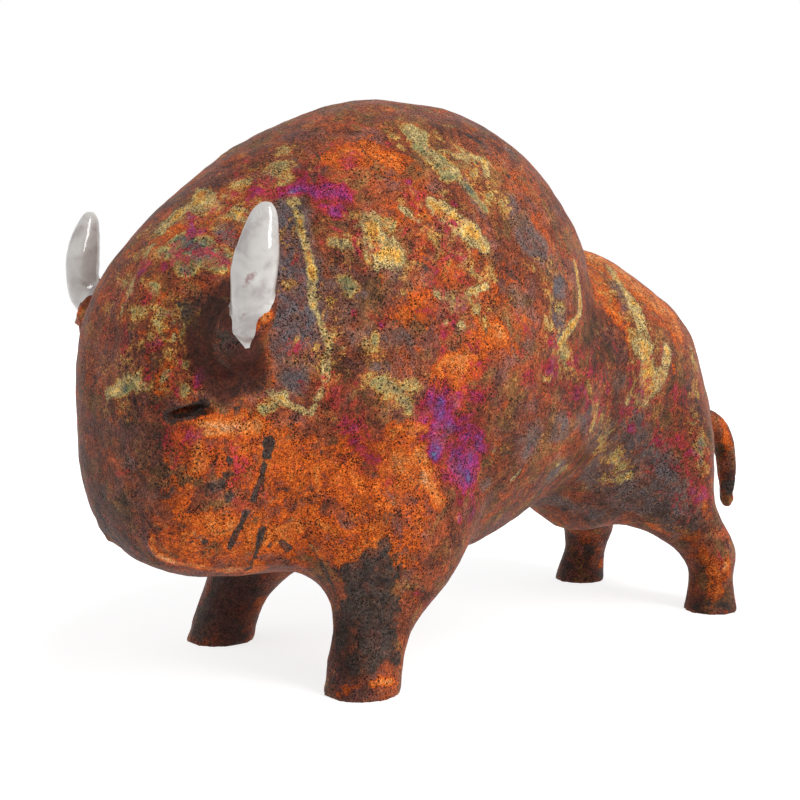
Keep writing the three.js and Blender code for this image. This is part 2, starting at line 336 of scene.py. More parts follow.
# ---- the shells are hollow, with a vent in the belly
bm = bmesh.new()
for name in nodes:
    if name.endswith(("shell", "base", "leg")):
        bm.from_mesh(nodes[name].data)
bmesh.ops.remove_doubles(bm, verts=bm.verts, dist=1e-6)
plugVent(bm)
room = makeObject("room", bm)
remesh(room, clayForm["roomVoxel"])
evenOut(room, 6)
write(room.data, read(room.data, "co") - read(room.data, "vector") * clayForm["wall"])
remesh(room, clayForm["roomVoxel"])
print("room:", len(room.data.polygons), "faces")
combine(clay, room, "DIFFERENCE")
removeObject(room)

bm = bmesh.new()
bmesh.ops.create_cone(
    bm, cap_ends=True, segments=40, radius1=clayForm["ventRadius"] * 1.1, radius2=clayForm["ventRadius"],
    depth=0.03, matrix=ventMiddle,
)
tool = makeObject("ventTool", bm)
combine(clay, tool, "DIFFERENCE")
removeObject(tool)
print("hollow clay:", len(clay.data.polygons), "faces")


# ---- the pieces come apart where they are luted together
seams = {
    "legRise": 0.82,  # how far up its own height a leg is taken off the body
    "legSpread": 0.006,
    "chest": 0.0496,  # the strip between the front legs belongs to the back shell
    "tailSpread": 0.002,
    "socketSpread": 0.003,
    "neck": ((0, -0.0873, 0.118), 0.15),
    "waist": ((0, 0.0167, 0.112), 0.7),
    "beard": 0.059,
    "sharpAngle": 50,
}


def domeTool(low, high, spread, widest):
    # an egg round a box, widest at a share of the box's height
    half = (high - low) / 2 + Vector((spread, spread, 0))
    middle = (low + high) / 2
    middle.z = low.z + (high.z - low.z) * widest
    half.z = high.z - middle.z + spread
    bm = bmesh.new()
    bmesh.ops.create_icosphere(
        bm, subdivisions=5, radius=1, matrix=Matrix.Translation(middle) @ Matrix.Diagonal((*half, 1))
    )
    return makeObject("domeTool", bm)


def boxTool(low, high):
    bm = bmesh.new()
    place = Matrix.Translation((Vector(low) + Vector(high)) / 2)
    bmesh.ops.create_cube(bm, size=1, matrix=place @ Matrix.Diagonal((*(Vector(high) - Vector(low)), 1)))
    return makeObject("boxTool", bm)


def planeTool(place, lean):
    # all that lies in front of a plane that leans back
    bm = bmesh.new()
    bmesh.ops.create_cube(bm, size=1, matrix=Matrix.Translation((0, -0.5, 0)))
    bmesh.ops.transform(
        bm, matrix=Matrix.Translation(place) @ Matrix.Rotation(-lean, 4, "X"), verts=bm.verts
    )
    return makeObject("planeTool", bm)


def cutPiece(source, tool, name):
    part = splitOff(source, tool, name)
    removeObject(tool)
    return part


# the glaze line of a horn: the white glaze ends in a ragged oblique edge over the socket
glazeLine = {
    "middle": (0.0609, -0.1442, 0.1447),
    "direction": (0.486, -0.652, 0.58),
    "size": 0.070,
    "ragged": 0.0008,
    "tip": (238, 325),  # the white runs down to a point here
    "tipReach": 0.012,
    "tipWidth": (0.0028, 0.0065),
    "sleeve": ((0.0585, -0.146, 0.130), (0.066, -0.139, 0.192)),
    "sleeveRadius": 0.0125,
}


def glazeTool(side):
    direction = Vector(glazeLine["direction"]).normalized()
    across = Vector((0, 0, 1)).cross(direction).normalized()
    upward = direction.cross(across)
    turn = Matrix((across, upward, direction)).transposed().to_4x4()
    bm = bmesh.new()
    bmesh.ops.create_grid(bm, x_segments=60, y_segments=60, size=glazeLine["size"] / 2)
    for vertex in bm.verts:
        x, y = vertex.co.x, vertex.co.y
        vertex.co.z += glazeLine["ragged"] * noise.noise(Vector((x, y, side)) * 420)
        vertex.co.z += glazeLine["ragged"] * 1.6 * noise.noise(Vector((x, y, side + 5)) * 160)
    frameTurn = Matrix.Translation(glazeLine["middle"]) @ turn
    way = sightLine(*glazeLine["tip"])
    for vertex in bm.verts:
        seen = frameTurn @ vertex.co - camera.location
        aside = (seen - way * seen.dot(way)).dot(camera.matrix_world.col[0].xyz)
        away = abs(aside) / glazeLine["tipWidth"][aside > 0]
        vertex.co.z -= glazeLine["tipReach"] * max(0, 1 - away)
    bmesh.ops.recalc_face_normals(bm, faces=bm.faces)
    grown = bmesh.ops.extrude_face_region(bm, geom=bm.faces[:])
    lifted = [part for part in grown["geom"] if isinstance(part, bmesh.types.BMVert)]
    bmesh.ops.translate(bm, vec=(0, 0, 0.07), verts=lifted)
    bmesh.ops.transform(bm, matrix=frameTurn, verts=bm.verts)
    tool = makeObject("glazeTool", bm)
    foot, top = (Vector(end) for end in glazeLine["sleeve"])
    turn = (top - foot).to_track_quat("Z", "Y").to_matrix().to_4x4()
    radius = glazeLine["sleeveRadius"]
    bm = bmesh.new()
    bmesh.ops.create_cone(
        bm, cap_ends=True, segments=64, radius1=radius, radius2=radius, depth=(top - foot).length,
        matrix=Matrix.Translation((foot + top) / 2) @ turn,
    )
    sleeve = makeObject("sleeve", bm)
    combine(tool, sleeve, "INTERSECT")
    removeObject(sleeve)
    if side < 0:
        bm = bmesh.new()
        bm.from_mesh(tool.data)
        bmesh.ops.scale(bm, vec=(-1, 1, 1), verts=bm.verts)
        bmesh.ops.recalc_face_normals(bm, faces=bm.faces)
        bm.to_mesh(tool.data)
        bm.free()
    return tool


pieces = {}
for side, word in ((1, "left"), (-1, "right")):
    pieces[word + "Horn"] = cutPiece(clay, glazeTool(side), word + "Horn")
    low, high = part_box(word + "_horn_socket")
    socketTool = domeTool(low, high, seams["socketSpread"], 0.5)
    pieces[word + "Socket"] = cutPiece(clay, socketTool, word + "Socket")
    for end in ("front", "hind"):
        low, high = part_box(f"{end}_{word}_leg")
        high.z *= seams["legRise"]
        legTool = domeTool(low, high, seams["legSpread"], 0.15)
        pieces[f"{end}{word.title()}Leg"] = cutPiece(clay, legTool, f"{end}{word.title()}Leg")
low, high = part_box("tail")
spread = Vector([seams["tailSpread"]] * 3)
pieces["tail"] = cutPiece(clay, boxTool(low - spread, high + spread), "tail")
pieces["head"] = cutPiece(clay, planeTool(*seams["neck"]), "head")
pieces["beard"] = cutPiece(pieces["head"], boxTool((-1, -1, -1), (1, 1, seams["beard"])), "beard")
humpTool = planeTool(*seams["waist"])
overChest = boxTool((-1, -1, seams["chest"]), (1, 1, 1))
combine(humpTool, overChest, "INTERSECT")
removeObject(overChest)
pieces["hump"] = cutPiece(clay, humpTool, "hump")
clay.name = "rump"
pieces["rump"] = clay


def dropCrumbs(piece, share):
    # deletes the loose crumbs that a cut left, each smaller than a share of the piece
    bm = bmesh.new()
    bm.from_mesh(piece.data)
    unseen = set(bm.verts)
    while unseen:
        part = [unseen.pop()]
        for vertex in part:
            for edge in vertex.link_edges:
                other = edge.other_vert(vertex)
                if other in unseen:
                    unseen.discard(other)
                    part.append(other)
        if len(part) < share * len(piece.data.vertices):
            bmesh.ops.delete(bm, geom=part, context="VERTS")
    bm.to_mesh(piece.data)
    bm.free()


for piece in pieces.values():
    dropCrumbs(piece, 0.2)
print("pieces cut apart:", len(pieces))


# ---- the copper glaze: lustre flashes laid where the photo shows them.
# Each flash is a line of places in the photo, then its radius in the photo's pixels and its strength
def spot(across, down, radius, strength=1.0):
    return ([(across, down)], radius, strength)


def streak(places, radius, strength=1.0):
    return (places, radius, strength)


flashes = {
    # painted shade: dark brown in the recess under each horn, on the far front and hind legs, low on the haunch and
    # down the left side of the face
    "hollow": (
        streak([(216, 300), (204, 326), (212, 366), (226, 384)], 15), streak([(244, 352), (250, 372)], 15),
        streak([(222, 286), (226, 320), (236, 346)], 8),
        streak([(240, 596), (222, 640), (228, 676)], 24, 0.6), streak([(562, 560), (556, 590)], 16, 0.5),
        streak([(700, 520), (690, 560)], 8, 0.4), streak([(96, 430), (100, 520), (140, 575)], 22, 0.35),
    ),
    "vein": (streak([(236, 314), (239, 300), (243, 288), (252, 276)], 3.4, 1.2), streak([(236, 322), (246, 316)], 3, 1.0)),
    "bloom": (
        streak([(120, 280), (190, 220), (270, 170)], 46), streak([(110, 380), (200, 330)], 40),
        streak([(330, 300), (330, 380), (400, 390)], 30, 0.8), streak([(400, 130), (460, 160), (500, 200)], 30),
        streak([(340, 230), (400, 260)], 34), streak([(430, 200), (480, 300)], 36), streak([(610, 290), (650, 400)], 34),
        streak([(550, 280), (560, 360), (620, 470)], 26), streak([(690, 350), (700, 460)], 18), spot(285, 160, 24),
    ),
    "blush": (
        streak([(120, 300), (200, 250), (260, 180)], 40), streak([(330, 160), (350, 240)], 34), streak([(160, 380), (240, 340)], 30),
        streak([(420, 200), (460, 340), (470, 480)], 36), streak([(540, 360), (640, 400), (700, 480)], 40),
        streak([(340, 400), (370, 460)], 26), streak([(180, 440), (260, 480)], 30), spot(300, 360, 22),
    ),
    "orange": (
        streak([(340, 156), (366, 148), (394, 162)], 15), spot(335, 152, 8), spot(370, 160, 10, 0.8),
        streak([(400, 180), (440, 250), (500, 300)], 40, 0.62), streak([(520, 180), (540, 250)], 26, 0.55),
        spot(420, 300, 26, 0.7), spot(520, 330, 24, 0.7), spot(410, 350, 22, 0.7), spot(400, 310, 16, 0.8),
        spot(620, 288, 12, 0.8), streak([(590, 275), (612, 310)], 12, 0.9), streak([(600, 300), (640, 360)], 14, 0.7),
        spot(214, 225, 5), spot(226, 216, 4), streak([(160, 300), (172, 340)], 8, 0.8), spot(140, 330, 8, 0.7), spot(190, 275, 3), streak([(173, 318), (175, 345)], 5, 0.9),
        streak([(122, 289), (119, 321)], 6, 0.7), streak([(165, 365), (158, 388)], 8, 0.9), spot(76, 311, 8),
        streak([(200, 440), (300, 470), (420, 470)], 34, 0.85), streak([(180, 540), (300, 540), (400, 540)], 30, 0.85),
        spot(170, 500, 22, 0.8), spot(444, 426, 5), streak([(340, 480), (420, 520)], 24, 0.8),
        streak([(251, 330), (268, 314)], 6), streak([(701, 495), (708, 508)], 6, 0.9), spot(708, 560, 10, 0.7),
        spot(712, 590, 8, 0.7), spot(340, 690, 8, 0.8), streak([(352, 686), (396, 684)], 4, 0.9),
        spot(255, 565, 20, 0.8), spot(590, 545, 10, 0.6), streak([(565, 556), (600, 562)], 6, 0.6),
        streak([(258, 604), (272, 590), (290, 578)], 9, 1.1), spot(415, 600, 8, 0.6), spot(700, 530, 8, 0.7),
        streak([(655, 530), (690, 537), (706, 552)], 8, 1.0), streak([(712, 562), (714, 592)], 8, 1.0), spot(726, 568, 7, 0.9),
        streak([(724, 424), (732, 444)], 6, 0.9), streak([(150, 538), (152, 554)], 4.5, 1.0),
    ),
    "peach": (
        streak([(570, 110), (625, 170), (655, 235)], 34, 0.52), streak([(150, 250), (190, 215), (240, 190)], 22, 0.5), streak([(590, 256), (640, 290), (672, 320)], 24, 0.8),
        streak([(450, 378), (480, 350), (500, 330)], 15, 0.75), spot(460, 400, 10, 0.8), spot(520, 320, 12, 0.6),
        streak([(352, 630), (362, 646)], 6, 0.6), streak([(372, 684), (392, 682)], 4, 0.8), spot(700, 560, 8, 0.7),
        streak([(205, 428), (255, 425)], 13, 0.95), streak([(190, 440), (196, 470)], 9, 0.8),
        streak([(160, 560), (200, 566), (250, 570)], 7, 0.85), streak([(210, 522), (260, 540), (330, 530)], 16, 0.72),
        spot(724, 562, 6, 0.9), streak([(395, 430), (440, 430)], 8, 0.9), streak([(392, 428), (412, 432)], 9, 0.9),
        streak([(425, 450), (440, 500)], 10, 0.9), spot(230, 520, 18, 0.62), spot(300, 510, 16, 0.6),
        spot(270, 430, 12, 0.7), spot(375, 480, 20, 0.6), spot(440, 390, 14, 0.6), spot(500, 350, 14, 0.5),
        spot(205, 560, 14, 0.6), spot(400, 560, 10, 0.6), spot(690, 560, 6, 0.6), spot(395, 455, 8, 0.8),
        spot(470, 350, 12, 0.55), streak([(160, 505), (175, 480)], 6, 0.6), spot(380, 680, 5, 0.7),
    ),
    # darkened as painted shade: the far legs, the eye slit, the left side of the face, the lower haunches and the near
    # legs' shaded sides
    "umber": (
        streak([(690, 540), (700, 600), (715, 610)], 22, 1.4), streak([(565, 555), (580, 600)], 26, 1.4), streak([(225, 592), (214, 660)], 27, 1.8), streak([(171, 417), (204, 406)], 5, 2.2), streak([(340, 640), (344, 690)], 18, 1.5),
        streak([(325, 640), (330, 690)], 12, 0.9), streak([(345, 690), (400, 700)], 8, 0.8), streak([(640, 490), (700, 520)], 22),
        streak([(330, 281), (380, 300), (413, 349)], 22, 0.8), streak([(90, 440), (100, 520), (130, 560)], 30),
        streak([(150, 400), (150, 480), (120, 540)], 34), spot(270, 150, 20, 0.5), spot(170, 440, 22, 0.9),
        streak([(287, 480), (314, 495)], 9, 0.8), streak([(362, 505), (390, 518)], 8, 0.8), spot(80, 380, 14, 0.7),
        streak([(300, 200), (290, 250)], 16, 0.7), spot(240, 170, 12, 0.5), spot(460, 180, 12, 0.5),
        spot(640, 440, 30, 1.1), spot(600, 500, 30, 1.1), spot(540, 500, 26, 0.9), spot(500, 290, 12, 0.5),
        streak([(190, 130), (140, 190), (100, 250)], 14, 0.6), spot(210, 185, 12, 0.4), spot(680, 470, 24, 0.8),
        spot(350, 360, 16, 0.6), spot(500, 440, 20, 0.6), spot(725, 450, 8, 0.5), streak([(733, 480), (730, 508)], 8, 1.5),
        streak([(670, 420), (690, 500)], 26, 0.9), streak([(600, 350), (640, 440)], 34, 0.8),
        spot(680, 330, 10, 0.5), spot(580, 545, 12, 0.8), spot(575, 570, 12, 0.9), spot(600, 330, 12, 0.5),
    ),
    "wine": (
        spot(454, 203, 5), spot(383, 322, 6), spot(300, 172, 14, 0.85), spot(342, 258, 12, 0.9), streak([(552, 365), (585, 400)], 12, 0.9), spot(632, 385, 5),
        spot(638, 413, 4), streak([(680, 400), (690, 500)], 22, 0.72), spot(164, 268, 7), spot(139, 271, 6),
        streak([(101, 330), (160, 345), (140, 370)], 14, 0.6), streak([(350, 425), (372, 452)], 15, 0.9),
        streak([(226, 373), (253, 355)], 6, 0.9), spot(457, 495, 8, 0.9), streak([(415, 590), (432, 598)], 7, 0.8),
        spot(459, 309, 6, 0.8), spot(470, 430, 24, 0.8), spot(340, 210, 14, 0.7), spot(655, 470, 18, 0.6),
        spot(590, 380, 14, 0.6), spot(230, 300, 12, 0.4), spot(110, 260, 10, 0.5), spot(300, 385, 9, 0.7),
        spot(340, 425, 12, 0.8), spot(120, 400, 10, 0.4), spot(720, 440, 6, 0.5), spot(470, 510, 8, 0.9),
    ),
    "rose": (
        streak([(189, 212), (197, 234)], 9), spot(178, 272, 7, 0.9), spot(150, 262, 8, 0.8), spot(120, 345, 9, 0.8), spot(160, 346, 8, 0.8), streak([(221, 170), (267, 150)], 12, 0.55), spot(245, 190, 12, 0.5),
        spot(457, 502, 4), spot(185, 300, 6, 0.6), streak([(101, 340), (130, 350)], 10, 0.6), spot(550, 380, 6, 0.8),
        spot(386, 140, 12, 0.5), spot(100, 300, 8, 0.5), spot(440, 280, 8, 0.5), spot(234, 460, 5, 0.8),
        spot(300, 160, 12, 0.5), spot(330, 300, 7, 0.5), streak([(214, 226), (226, 258)], 6, 0.75), spot(640, 300, 8, 0.5), spot(690, 450, 7, 0.6),
        spot(225, 358, 5, 0.6), spot(430, 410, 6, 0.6),
    ),
    "violet": (
        streak([(294, 186), (318, 190), (344, 194)], 14, 0.86), spot(336, 206, 12, 0.9), spot(410, 180, 5, 0.8), spot(205, 226, 7, 0.8),
        spot(176, 246, 7, 0.8), spot(355, 312, 5, 0.7),
        streak([(438, 412), (458, 436), (468, 470)], 24, 0.95), spot(440, 450, 9, 1.25), spot(455, 425, 10, 1.1),
        spot(471, 476, 9, 1.2), streak([(430, 408), (482, 422)], 12, 0.85), spot(484, 450, 12, 0.85), spot(460, 500, 10, 0.85),
        spot(679, 349, 4, 0.9), spot(635, 427, 6, 0.9), spot(364, 445, 8, 0.75), streak([(201, 387), (203, 371)], 8, 0.9),
        spot(457, 518, 6, 1.2), spot(560, 378, 7, 0.75), spot(245, 420, 5, 0.6), spot(235, 450, 5, 0.6),
        streak([(214, 488), (228, 482)], 5, 0.65), spot(265, 462, 4, 0.7), spot(300, 350, 6, 0.5), spot(480, 500, 7, 0.7),
        spot(226, 335, 5, 0.5), spot(320, 235, 7, 0.55), spot(390, 215, 5, 0.5), spot(655, 430, 6, 0.6),
    ),
    "grey": (
        streak([(288, 205), (292, 245)], 14, 0.95), streak([(292, 260), (297, 300), (300, 340)], 22), spot(296, 376, 13, 0.9),
        streak([(226, 228), (230, 285)], 10, 0.75), streak([(562, 286), (561, 310), (556, 342)], 8.5, 1.05),
        streak([(335, 272), (360, 292)], 8, 0.6), spot(388, 223, 6, 0.6), spot(230, 497, 4, 0.8), spot(215, 487, 5, 0.7),
        streak([(400, 395), (380, 370)], 9, 0.6), spot(240, 180, 10, 0.55), spot(295, 160, 10, 0.55),
    ),
    "ash": (
        streak([(515, 205), (532, 240), (548, 262)], 15, 0.9), streak([(456, 171), (470, 188), (484, 213)], 6, 0.9),
        streak([(560, 288), (553, 350)], 8, 0.9), streak([(585, 410), (611, 445)], 16), streak([(636, 427), (679, 518)], 24),
        spot(556, 470, 16), spot(479, 304, 6, 0.8), spot(455, 295, 8, 0.8), spot(508, 150, 8, 0.9), spot(310, 330, 16, 0.8),
        streak([(617, 285), (625, 311)], 7, 0.9), spot(560, 430, 14, 0.9), spot(115, 250, 12, 0.6), spot(530, 440, 18, 0.8),
        spot(490, 480, 10, 0.7), streak([(600, 470), (640, 500), (690, 500)], 20), spot(155, 460, 16, 0.6),
        streak([(130, 440), (150, 520)], 18, 0.5), spot(400, 270, 10, 0.7), spot(350, 250, 10, 0.7), spot(450, 240, 12, 0.6),
        streak([(520, 290), (530, 350)], 14, 0.6), spot(700, 440, 8, 0.7), streak([(560, 60), (610, 150)], 16, 0.5),
        streak([(330, 290), (360, 330), (400, 340)], 16, 0.7), streak([(540, 500), (600, 515)], 10, 0.8), spot(620, 380, 12, 0.6),
        spot(240, 200, 12, 0.6), spot(180, 290, 12, 0.5), spot(700, 545, 8, 0.6),
    ),
    "olive": (
        streak([(271, 150), (292, 196)], 12, 0.7), streak([(165, 252), (212, 262)], 13), spot(370, 344, 12, 0.8),
        streak([(370, 385), (410, 390)], 11, 0.85), streak([(135, 308), (165, 318)], 9, 0.85),
        streak([(411, 130), (426, 148), (447, 168)], 13, 0.9), spot(349, 283, 9, 0.9), streak([(464, 182), (486, 210)], 5, 0.9), streak([(330, 241), (352, 247)], 6, 0.8), spot(222, 298, 5, 0.9),
        streak([(105, 393), (140, 385)], 9, 0.9), streak([(640, 320), (645, 400)], 10, 0.75), spot(388, 225, 9, 0.7),
        spot(130, 270, 12, 0.6), spot(185, 240, 12, 0.7), streak([(285, 225), (300, 300)], 12, 0.5), spot(410, 405, 8, 0.7),
        spot(445, 222, 8, 0.7), spot(462, 300, 18, 0.7), spot(270, 405, 10, 0.6), spot(380, 350, 14, 0.6),
        spot(620, 465, 9, 0.8), spot(560, 470, 12, 0.6), spot(640, 360, 12, 0.6), spot(200, 190, 14, 0.6),
    ),
    "teal": (
        streak([(184, 238), (200, 250), (214, 256)], 15, 1.08), spot(186, 266, 10), spot(150, 292, 8, 0.9),
        spot(232, 205, 7, 0.8), spot(272, 407, 7, 0.95), streak([(282, 148), (276, 184)], 8, 0.7), spot(185, 364, 5, 0.9), spot(183, 391, 6, 0.8),
        streak([(701, 442), (701, 463)], 4, 0.9), spot(170, 245, 6, 0.6), spot(287, 405, 5, 0.7), spot(320, 400, 4, 0.6),
        spot(457, 520, 5, 0.7), spot(545, 380, 3, 0.8), streak([(300, 330), (296, 360)], 6, 0.4), spot(205, 245, 5, 0.6),
    ),
    "gold": (
        streak([(146, 239), (160, 224), (174, 212), (196, 196)], 8), streak([(196, 193), (221, 202), (242, 211)], 8),
        spot(200, 200, 10), spot(228, 204, 7, 0.9), streak([(412, 127), (430, 150), (450, 165)], 7, 0.8), spot(465, 158, 6, 0.8),
        streak([(456, 155), (471, 155), (486, 160), (487, 173)], 4.5, 0.95), streak([(434, 204), (448, 216), (462, 228), (482, 243)], 9),
        spot(443, 208, 7, 0.9), streak([(402, 207), (418, 219)], 4.5, 0.8), streak([(368, 230), (380, 244), (398, 252)], 13),
        spot(385, 250, 12), spot(378, 267, 4, 0.9), streak([(330, 241), (352, 247)], 5, 0.75),
        spot(443, 292, 7), spot(476, 289, 8), spot(479, 312, 6), spot(463, 327, 5), spot(446, 322, 4), spot(459, 302, 12, 0.75),
        streak([(574, 264), (579, 290), (578, 312), (568, 332), (554, 354), (548, 378)], 4.4, 1.05),
        streak([(630, 298), (648, 335)], 6, 0.85), streak([(645, 350), (652, 385)], 11), streak([(668, 352), (660, 380), (652, 392)], 9, 0.9),
        spot(629, 401, 5, 0.95), spot(617, 458, 7, 0.9), spot(629, 474, 6, 0.85), spot(618, 481, 5, 0.9), spot(556, 465, 6, 0.75),
        streak([(105, 396), (127, 379), (140, 385)], 6, 0.85), streak([(122, 289), (119, 321)], 3.5, 0.7), spot(127, 379, 6),
        streak([(173, 318), (175, 345)], 3, 0.85), streak([(166, 372), (160, 388)], 4, 0.8), streak([(285, 195), (300, 215)], 4, 0.8),
        streak([(292, 200), (305, 240), (313, 275), (311, 300), (319, 318), (331, 345), (326, 378)], 4.2, 1.0),
        streak([(264, 168), (284, 178), (298, 200)], 4.2, 0.95), streak([(150, 244), (134, 270), (124, 300)], 4.5, 0.9),
        streak([(608, 268), (626, 296), (640, 330)], 5, 0.85), streak([(212, 300), (206, 330)], 4, 0.8),
        streak([(270, 391), (287, 403), (310, 416), (322, 391)], 4, 0.95), spot(284, 396, 5, 0.8), streak([(262, 365), (266, 385)], 3, 0.7),
        streak([(455, 405), (487, 402)], 3, 0.5), spot(300, 240, 3, 0.6), streak([(512, 480), (522, 470)], 3, 0.7),
        spot(690, 350, 4, 0.6), streak([(690, 330), (700, 360)], 3, 0.6), streak([(540, 120), (560, 140)], 6, 0.8), spot(205, 260, 4, 0.5), spot(195, 225, 3, 0.6),
    ),
    "straw": (
        spot(430, 150, 9, 0.75), spot(460, 160, 7, 0.7), streak([(365, 236), (392, 250)], 8, 0.8), spot(400, 254, 6, 0.8),
        streak([(438, 206), (470, 236)], 4.5, 0.85), streak([(440, 292), (448, 300)], 5, 0.8), spot(478, 292, 5, 0.85),
        spot(407, 212, 4, 0.8), streak([(195, 196), (230, 204)], 4, 0.6), streak([(642, 350), (652, 385)], 6, 0.8),
        streak([(666, 356), (658, 384)], 5, 0.8), spot(622, 404, 4, 0.8), spot(617, 458, 4, 0.8), streak([(578, 284), (577, 310)], 4, 0.9),
        streak([(507, 146), (530, 160)], 4.5, 0.6), spot(126, 381, 4, 0.7), spot(278, 398, 4, 0.8), spot(565, 340, 3, 0.8),
        spot(555, 468, 4, 0.7), spot(462, 325, 4, 0.8),
    ),
    # smoke black of the firing, and painted shade: the recess under each horn, beside the horn's base, the eye slit,
    # the dark line under the horn's glaze tip and part of the far front leg
    "soot": (
        streak([(471, 137), (479, 141)], 4, 0.8), spot(484, 138, 2, 0.7), spot(478, 163, 3, 0.8), spot(509, 175, 3, 0.7),
        spot(532, 181, 3, 0.7), spot(428, 269, 4, 0.7), streak([(200, 310), (215, 345), (235, 380)], 22, 0.62),
        streak([(258, 345), (262, 385)], 7, 0.75), spot(240, 385, 14, 0.6), streak([(228, 275), (228, 312)], 4, 0.7),
        streak([(270, 441), (268, 456)], 3.6, 1.1), streak([(266, 462), (254, 500)], 2.8, 1.1),
        streak([(247, 512), (230, 550)], 2.9, 1.1), streak([(262, 530), (248, 570)], 3, 1.1), streak([(208, 490), (222, 484)], 6, 0.7), spot(230, 496, 6, 0.75),
        spot(228, 476, 5, 0.7), spot(206, 543, 3.5, 0.9), streak([(283, 543), (289, 549)], 3.5), spot(270, 546, 3, 0.9), spot(313, 526, 3, 0.8),
        spot(285, 546, 3, 0.9), spot(304, 550, 3, 0.9), spot(323, 454, 3, 0.9), spot(205, 544, 3, 0.9), spot(192, 538, 2.4, 0.8),
        streak([(386, 541), (381, 556)], 6, 0.95), streak([(376, 564), (370, 590)], 16), streak([(348, 578), (352, 590)], 11, 0.9),
        streak([(372, 600), (374, 640)], 19, 0.95), streak([(345, 604), (342, 640)], 9, 0.7), spot(352, 662, 11, 0.62),
        streak([(366, 668), (398, 664)], 6, 0.7), streak([(366, 697), (396, 695)], 3.5, 0.75),
        streak([(312, 550), (320, 568), (331, 590)], 3.5, 0.95), spot(335, 640, 8, 0.6), spot(390, 650, 8, 0.8),
        streak([(200, 620), (215, 600), (240, 590)], 16, 0.95), spot(228, 634, 14, 0.9), streak([(222, 585), (226, 600)], 10, 0.8), streak([(196, 640), (240, 644)], 7, 0.7),
        spot(735, 492, 5, 0.8), streak([(170, 417), (204, 406)], 5.5, 1.3), spot(600, 520, 14, 0.5),
        streak([(565, 560), (560, 590)], 7, 0.7), streak([(588, 552), (596, 590)], 6, 0.6), spot(688, 520, 9, 0.7),
        streak([(728, 486), (731, 506)], 7, 0.85),
        streak([(560, 572), (600, 572)], 7, 0.6), spot(270, 340, 5, 0.5), streak([(80, 480), (90, 530)], 10, 0.4),
        streak([(530, 510), (560, 512)], 6, 0.7), spot(690, 512, 8, 0.4), streak([(690, 605), (730, 607)], 4, 0.6),
        streak([(150, 430), (165, 480), (150, 530)], 12, 0.35), spot(512, 274, 4, 0.5), spot(229, 461, 3, 0.8),
        streak([(250, 345), (240, 352)], 6, 0.75), spot(340, 640, 10, 0.8), spot(255, 318, 2, 0.4),
    ),
}

# how far each kind of flash takes the three runs of colour: copper from dark red-brown to peach,
# film from gold through olive and green to grey, lustre from red through violet to blue
flashKinds = {
    "soot": {"soot": 0.9},
    # painted shade goes into the dark run
    "umber": {"dark": 0.16},
    "orange": {"copper": 0.62},
    "peach": {"copper": 0.90},
    "bloom": {"film": 0.40},
    "gold": {"gold": 0.76},
    "straw": {"gold": 0.60},
    "olive": {"film": 0.76},
    "teal": {"film": 0.84},
    "grey": {"ash": 1.0},
    "ash": {"ash": 0.75},
    "blush": {"lustre": 0.36},
    "rose": {"lustre": 0.50},
    "wine": {"lustre": 0.56, "dark": 0.18},
    "violet": {"lustre": 0.68},
    "hollow": {"hollow": 1.0},
    "vein": {"vein": 1.0},
}
flashLaying = {
    "wander": ((0.018, 0.0026), (0.008, 0.0022), (0.0036, 0.0010)),
    "thin": 0.0029,  # narrower flashes keep to their lines
    "thinWander": 0.22,
    "farShift": 0.012,
    "backTurn": 118,  # degrees from the photographed side round to the back
    "pressed": ("hollow", "vein"),  # these stay with the shapes that they lie on
    "swell": 1.3,
    "inner": 0.2,  # a flash is whole up to this share of its radius
    "outer": 1.8,
}


def flashFields():
    # every flash as a line of points on the clay with a radius, the same on the hidden side but moved about
    fields = {}
    turn = Matrix.Rotation(math.radians(flashLaying["backTurn"]), 4, "Z")
    for family, laid in flashes.items():
        lines = []
        for number, (line, radius, strength) in enumerate(laid):
            points = [point for point in (onClay(*place) for place in line) if point]
            if not points:
                continue
            distance = sum((point - camera.location).length for point in points) / len(points)
            reach = flashLaying["swell"] * radius * distance / (photoView["lens"] / photoView["sensor"] * photoView["width"])
            seed = Vector((number * 3.7, len(family) * 2.9, radius))
            shift = noise.noise_vector(seed) * flashLaying["farShift"] * 2
            far = [mirrored(point) + shift for point in points]
            back = [] if family in flashLaying["pressed"] else [clayTree.find_nearest(turn @ point)[0] for point in points]
            lines.append((points, far, back, reach, strength))
        fields[family] = lines
    return fields


def layFlashes(piece, fields):
    places = read(piece.data, "co")
    wandered = places.copy()
    for number, (size, height) in enumerate(flashLaying["wander"]):
        for axis in range(3):
            wandered[:, axis] += noiseField(places, size, 11 + 3 * number + axis) * height
    steady = places + (wandered - places) * flashLaying["thinWander"]
    towards = np.array(camera.location) - places
    towards /= np.linalg.norm(towards, axis=1)[:, None]
    facing = np.sum(towards * read(piece.data, "vector"), axis=1)
    hidden = np.clip(0.5 - facing * 4, 0, 1)
    runs = {run: np.zeros(len(places)) for run in ("copper", "dark", "ash", "film", "gold", "lustre", "soot", "hollow", "vein")}
    for family, lines in fields.items():
        cover = np.zeros(len(places))
        for near, far, back, reach, strength in lines:
            for line, share in ((near, 1), (far, hidden), (back, hidden)):
                if not line:
                    continue
                away = lineDistance(steady if reach < flashLaying["thin"] else wandered, line) / reach
                away = np.clip((away - flashLaying["inner"]) / (flashLaying["outer"] - flashLaying["inner"]), 0, 1)
                cover = np.maximum(cover, strength * share * (1 - away * away * (3 - 2 * away)))
        for run, height in flashKinds[family].items():
            runs[run] = np.maximum(runs[run], height * cover)
    for run, field in runs.items():
        attribute = piece.data.attributes.new(run + "Run", "FLOAT", "POINT")
        attribute.data.foreach_set("value", field.astype(np.float32))


fields = flashFields()
for name, piece in pieces.items():
    layFlashes(piece, fields)
print("flashes laid:", sum(len(lines) for lines in fields.values()))


# ---- materials
def linear(*channels):
    # a colour read off the photo, as the light it stands for
    return (*[((c / 255 + 0.055) / 1.055) ** 2.4 if c > 10 else c / 255 / 12.92 for c in channels], 1)


